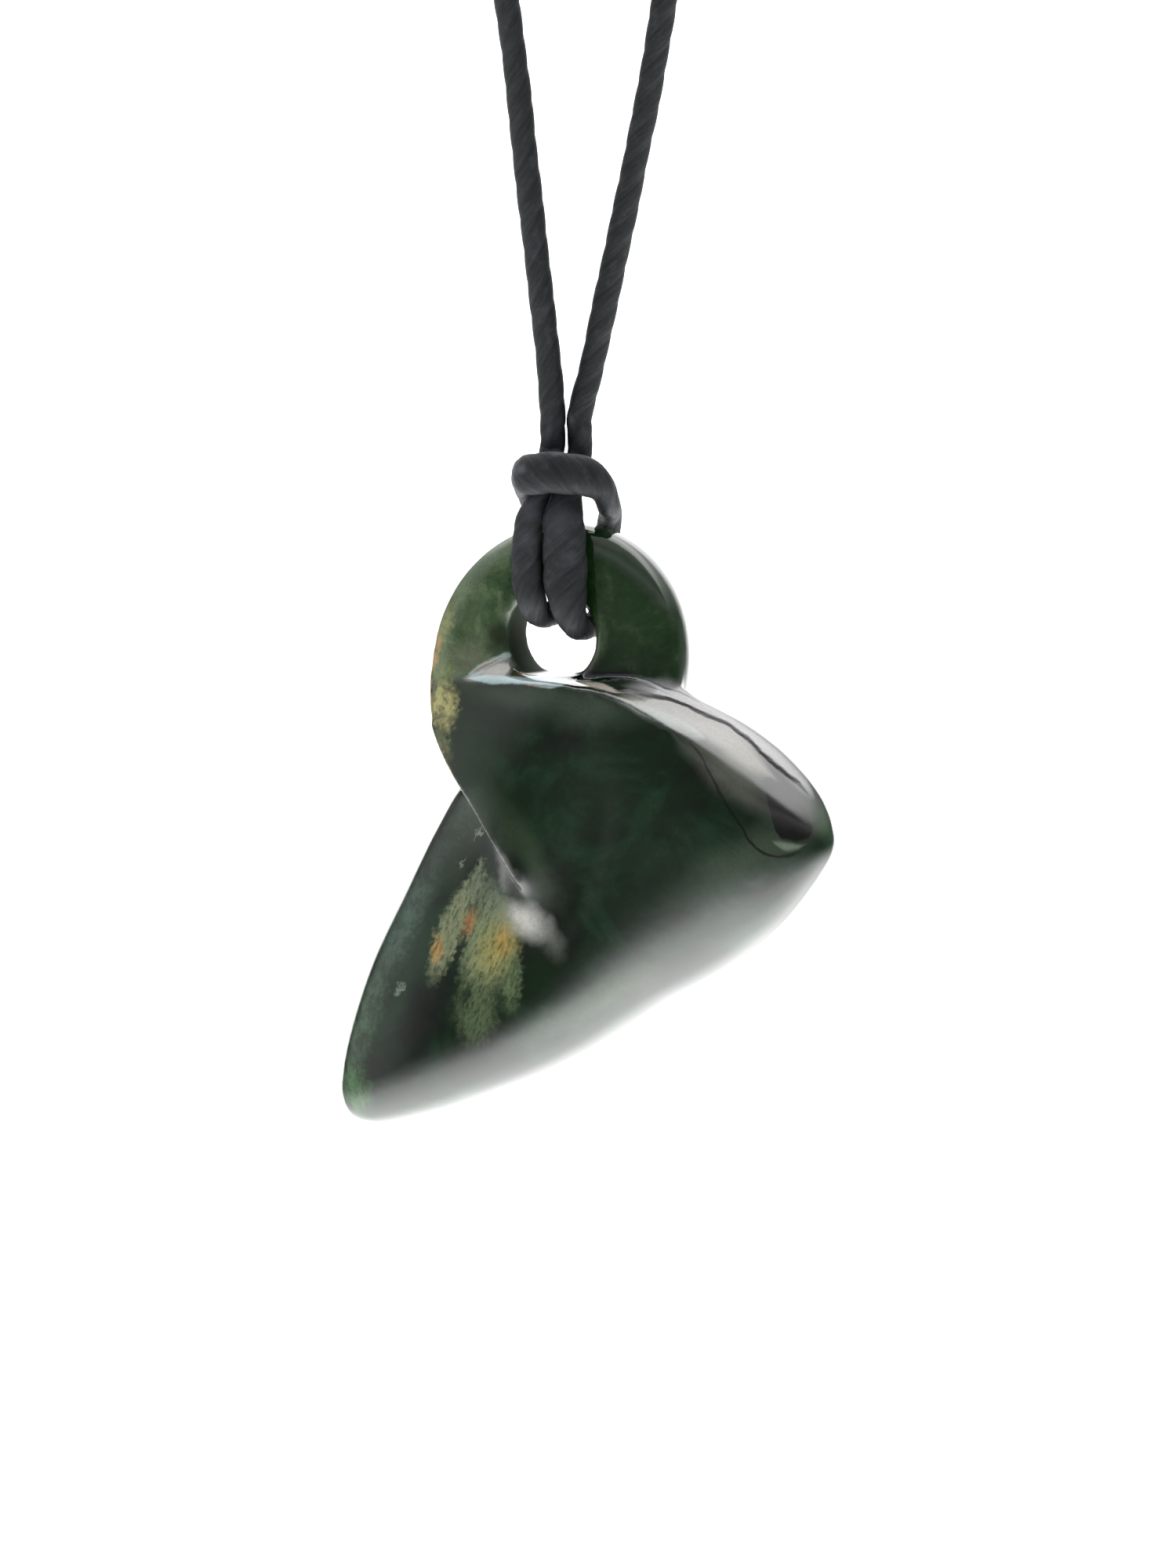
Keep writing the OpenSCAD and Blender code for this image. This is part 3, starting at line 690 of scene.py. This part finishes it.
# The neck loop from the hitch's left strand over the top to its right one: across and up
LOOP_ROUTE = [
    (-0.6, 14.5), (-0.6, 15.6), (-0.85, 19), (-1.3, 23), (-2.5, 33.5), (-3.8, 44.5), (-9, 80),
    (-14.2, 115), (-19.4, 150), (-24.6, 185), (-29.8, 220), (-34.1, 249), (-33.9, 260.7),
    (-29.6, 272.6), (-21.5, 282.4), (-10.5, 288.7), (2, 290.9), (14.5, 288.7), (25.5, 282.4),
    (33.6, 272.6), (37.9, 260.7), (38.1, 249), (33.8, 220), (28.5, 185), (23.2, 150),
    (17.9, 115), (12.6, 80), (7.2, 44.5), (5.2, 33.5), (3.0, 23), (2.15, 19), (1.3, 15.6),
    (1.3, 14.5),
]
CORD_DIAMETER = 1.8
# How much wider the two pressed strands in front are than their route says, and the depth and height
# that they lie in front of and below
STRAND_PRESS = 0.3
PRESSED_DEPTH = -2.4
PRESSED_HEIGHT = 10
# Points of a smooth curve for each row of a route, distance between the cord's rings, and points
# round each ring
CURVE_STEPS = 12
CORD_STEP = 0.3
CORD_SIDES = 24
# Twisted plies, the length in which one takes the next one's place, and the depth of the grooves
# between them as a share of the radius
PLIES = 3
PLY_SPACING = 2.3
PLY_RELIEF = 0.07
# Height of the fibres
FIBRE_HEIGHT = 0.07

# Places where the wax is rubbed paler, as spots of the front view: beside the crossing above the bar,
# along the bar's top, its left end, both strands below it and the turn over the ring. On both strands
# the spots are also painted sheen, where light catches their rounded middles
RUBBED_AND_SHEEN_SPOTS = [
    (727, 536, 8, 5, 70, 0.9, 0.55, (92, 100, 108)),
    (700, 552, 5, 16, 10, 0.9, 0.45, (84, 92, 100)),
    (746, 556, 6, 10, 20, 0.9, 0.35, (80, 88, 96)),
    (718, 580, 32, 3.5, 8, 0.9, 0.60, (112, 118, 124)),
    (664, 600, 7, 7, 0, 0.9, 0.55, (104, 110, 116)),
    (678, 648, 12, 18, 10, 1.0, 0.60, (88, 88, 98)),
    (715, 660, 18, 22, 20, 1.0, 0.60, (86, 86, 94)),
    (672, 690, 9, 14, 0, 1.0, 0.45, (78, 80, 90)),
    (728, 712, 8, 10, 0, 1.0, 0.35, (76, 80, 88)),
    (674, 776, 9, 7, 30, 1.0, 0.35, (66, 72, 80)),
    (778, 656, 6, 8, 0, 1.0, 0.50, (104, 110, 120)),
]

# The knot at the nape: point of the loop's route where it begins, turns of cord round the two
# ends, distance between the turns, their width and depth, and the knot's outer diameter
KNOT_POINT = 18
KNOT_TURNS = 4.6
KNOT_PITCH = 1.7
KNOT_STRAND = (1.68, 1.15)
KNOT_DIAMETER = 4.8
# How deep the knot's ends are tucked in, over which part of a turn, and the turn between its rows
KNOT_TUCK = 0.3
KNOT_TUCK_TURN = 0.3
KNOT_TURN_STEP = 0.1


def curve_through(rows, closed):
    """A smooth curve through rows of numbers, with several points for each row."""
    rows = np.asarray(rows, float)
    count = len(rows)
    if closed:
        order = [np.roll(rows, -k, axis=0) for k in (-1, 0, 1, 2)]
    else:
        padded = np.concatenate([rows[:1], rows, rows[-1:]])
        order = [padded[k:k + count - 1] for k in range(4)]
    before, start, end, after = (part[:, None, :] for part in order)
    f = (np.arange(CURVE_STEPS) / CURVE_STEPS)[None, :, None]
    fine = 0.5 * (2 * start + f * (end - before) + f ** 2 * (2 * before - 5 * start + 4 * end - after)
                  + f ** 3 * (3 * start - before - 3 * end + after))
    fine = fine.reshape(-1, rows.shape[1])
    return fine if closed else np.concatenate([fine, rows[-1:]])


def even_steps(rows, step, closed):
    """The same curve with its rows a step apart, each row's distance along it, and its length."""
    if closed:
        rows = np.concatenate([rows, rows[:1]])
    along = np.concatenate([[0.0], np.cumsum(np.linalg.norm(np.diff(rows[:, :3], axis=0), axis=1))])
    count = max(int(round(along[-1] / step)), 2)
    wanted = np.linspace(0.0, along[-1], count + 1)
    even = np.stack([np.interp(wanted, along, column) for column in rows.T], axis=1)
    return (even[:-1], wanted[:-1], along[-1]) if closed else (even, wanted, along[-1])


def cord_tube(name, rows, closed):
    """A twisted cord along rows of place, width, depth and the direction that its depth faces.

    Its map of the surface goes along the plies' twist, in whole plies, and along the cord in
    millimetres.
    """
    rows, along, length = even_steps(curve_through(rows, closed), CORD_STEP, closed)
    centre, width, depth, facing = rows[:, :3], rows[:, 3], rows[:, 4], rows[:, 5:8]
    if closed:
        heading = np.roll(centre, -1, axis=0) - np.roll(centre, 1, axis=0)
    else:
        heading = np.gradient(centre, axis=0)
    heading /= np.linalg.norm(heading, axis=1, keepdims=True)
    out = facing - heading * np.sum(facing * heading, axis=1, keepdims=True)
    out /= np.linalg.norm(out, axis=1, keepdims=True)
    across = np.cross(heading, out)
    angle = np.arange(CORD_SIDES) * 2 * math.pi / CORD_SIDES
    # Whole turns of all plies, so that a closed cord's twist meets itself
    twist = PLIES * round(length / PLY_SPACING / PLIES) / length
    ply = PLIES * angle / (2 * math.pi) - along[:, None] * twist
    wander = 1 + 0.015 * np.sin(along * 0.9) + 0.012 * np.sin(along * 0.37 + 1.0)
    swell = wander[:, None] - PLY_RELIEF * (1 - np.abs(np.cos(math.pi * ply))) ** 1.5
    points = (centre[:, None, :]
              + out[:, None, :] * (depth[:, None] / 2 * np.cos(angle) * swell)[..., None]
              + across[:, None, :] * (width[:, None] / 2 * np.sin(angle) * swell)[..., None])

    rings = len(rows)
    form = bmesh.new()
    corners = [form.verts.new(p) for p in hung_array(points.reshape(-1, 3))]
    around = form.loops.layers.uv.new("ply_and_length")
    for k in range(rings if closed else rings - 1):
        ahead = (k + 1) % rings
        near, far = along[k], (along[ahead] if ahead else length)
        for j in range(CORD_SIDES):
            turned = (j + 1) % CORD_SIDES
            face = form.faces.new((corners[k * CORD_SIDES + j], corners[ahead * CORD_SIDES + j],
                                   corners[ahead * CORD_SIDES + turned], corners[k * CORD_SIDES + turned]))
            for loop, (distance, side) in zip(face.loops, ((near, j), (far, j), (far, j + 1), (near, j + 1))):
                loop[around].uv = (PLIES * side / CORD_SIDES - distance * twist, distance)
    if not closed:
        form.faces.new([corners[j] for j in range(CORD_SIDES)])
        form.faces.new([corners[(rings - 1) * CORD_SIDES + j] for j in reversed(range(CORD_SIDES))])
    bmesh.ops.recalc_face_normals(form, faces=form.faces)
    mesh = bpy.data.meshes.new(name)
    form.to_mesh(mesh)
    form.free()
    mesh.shade_smooth()
    piece = bpy.data.objects.new(name, mesh)
    bpy.context.collection.objects.link(piece)
    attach(piece, "root")
    return piece


def make_cord(material):
    """The whole cord as one closed tube: the hitch, then the neck loop back to where it began."""
    hitch = []
    for x, y, z, width, depth in HITCH_ROUTE:
        middle = min(max(z, HITCH_CORE_HEIGHTS[0]), HITCH_CORE_HEIGHTS[1])
        facing = Vector((x - HITCH_CORE[0], y - HITCH_CORE[1], z - middle)).normalized()
        # The two strands in front press against each other, so that no light shows between them
        if y < PRESSED_DEPTH and z < PRESSED_HEIGHT:
            width += STRAND_PRESS
        hitch.append((x, y, z, width, depth, *facing))
    loop = [(x, NECK_REST[1], z, CORD_DIAMETER, CORD_DIAMETER, 0.0, -1.0, 0.0)
            for x, z in reversed(LOOP_ROUTE[1:-1])]
    # The tube begins and ends beside the knot at the nape
    start = len(hitch) + len(LOOP_ROUTE) - 2 - KNOT_POINT
    rows = hitch + loop
    piece = cord_tube("waxed_cord", rows[start:] + rows[:start], True)
    piece.data.materials.append(material)
    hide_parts("hitch", "neck_cord")


def make_knot(material):
    """The knot that joins the cord's ends at the nape: close turns round them, ends tucked in."""
    start, end = (np.array((x, NECK_REST[1], z)) for x, z in LOOP_ROUTE[KNOT_POINT:KNOT_POINT + 2])
    middle = (start + end) / 2
    axis = (end - start) / np.linalg.norm(end - start)
    side = np.array((0.0, -1.0, 0.0))
    other = np.cross(axis, side)
    radius = (KNOT_DIAMETER - KNOT_STRAND[1]) / 2
    rows = []
    for turn in np.arange(0, KNOT_TURNS + 0.01, KNOT_TURN_STEP):
        from_end = min(turn, KNOT_TURNS - turn)
        tucked = radius - KNOT_TUCK * max(1 - from_end / KNOT_TUCK_TURN, 0)
        angle = 2 * math.pi * turn
        facing = side * math.cos(angle) + other * math.sin(angle)
        place = middle + facing * tucked + axis * KNOT_PITCH * (turn - KNOT_TURNS / 2)
        rows.append((*place, *KNOT_STRAND, *facing))
    piece = cord_tube("wrapped_knot", rows, False)
    piece.data.materials.append(material)
    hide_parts("closing_knot")


def waxed_cord():
    """Charcoal waxed cord: painted shade in the grooves between its plies, fine fibres, and places rubbed
    paler, partly painted sheen.
    """
    material, tree, shader = new_material("waxed_cord")
    place = tree.add("ShaderNodeTexCoord").outputs["Object"]
    near = tree.vector("MULTIPLY", place, (1 / MM,) * 3)
    ply, distance, _ = tree.split(tree.add("ShaderNodeUVMap", uv_map="ply_and_length").outputs[0])
    turn = tree.math("MULTIPLY", ply, 2 * math.pi / PLIES)
    drawn_out = tree.math("MULTIPLY", distance, 0.25)
    along = tree.combine(tree.math("COSINE", turn), tree.math("SINE", turn), drawn_out)
    fibres = tree.noise(along, 3.0, detail=5.0, roughness=0.7)
    blotches = tree.noise(near, 0.9, detail=4.0, roughness=0.6)
    ply_groove_shade = tree.math("ABSOLUTE", tree.math("COSINE", tree.math("MULTIPLY", ply, math.pi)))

    base = tree.ramp(fibres, [(0.32, (0.0032, 0.0042, 0.0046)), (0.52, (0.0072, 0.0092, 0.0102)),
                              (0.74, (0.016, 0.018, 0.0205))])
    base = tree.mix(tree.rescale(blotches, 0.5, 0.72, 0.0, 0.55), base, (0.024, 0.0255, 0.030))
    # Painted shade in the grooves between the plies
    base = tree.mix(tree.rescale(ply_groove_shade, 0.0, 0.55, 0.7, 0.0), base, (0.0022, 0.0028, 0.0032))
    view = tree.wander(front_view(tree, place), near, 1.2, 6.0)
    _, away, _ = tree.split(near)
    # Rubbed wax, with painted sheen on the strands' rounded middles
    rubbed_and_sheen = paint_spots(tree, base, view, RUBBED_AND_SHEEN_SPOTS)
    base = tree.mix(tree.rescale(away, 1.5, 0.5), base, rubbed_and_sheen)
    tree.join(base, shader.inputs["Base Color"])
    tree.join(tree.rescale(fibres, 0.3, 0.7, 0.66, 0.5), shader.inputs["Roughness"])
    shader.inputs["Specular IOR Level"].default_value = 0.22
    bump = tree.add("ShaderNodeBump")
    bump.inputs["Strength"].default_value = 1.0
    bump.inputs["Distance"].default_value = FIBRE_HEIGHT * MM
    tree.join(fibres, bump.inputs["Height"])
    tree.join(bump.outputs[0], shader.inputs["Normal"])
    return material


def set_picture():
    """Plain colours, so that the pale floor and background come out white."""
    scene = bpy.context.scene
    scene.view_settings.view_transform = "Standard"
    scene.view_settings.look = "None"


add_camera()
add_world()
add_floor()
set_picture()
cord_finish = waxed_cord()
make_cord(cord_finish)
make_knot(cord_finish)
make_stone()
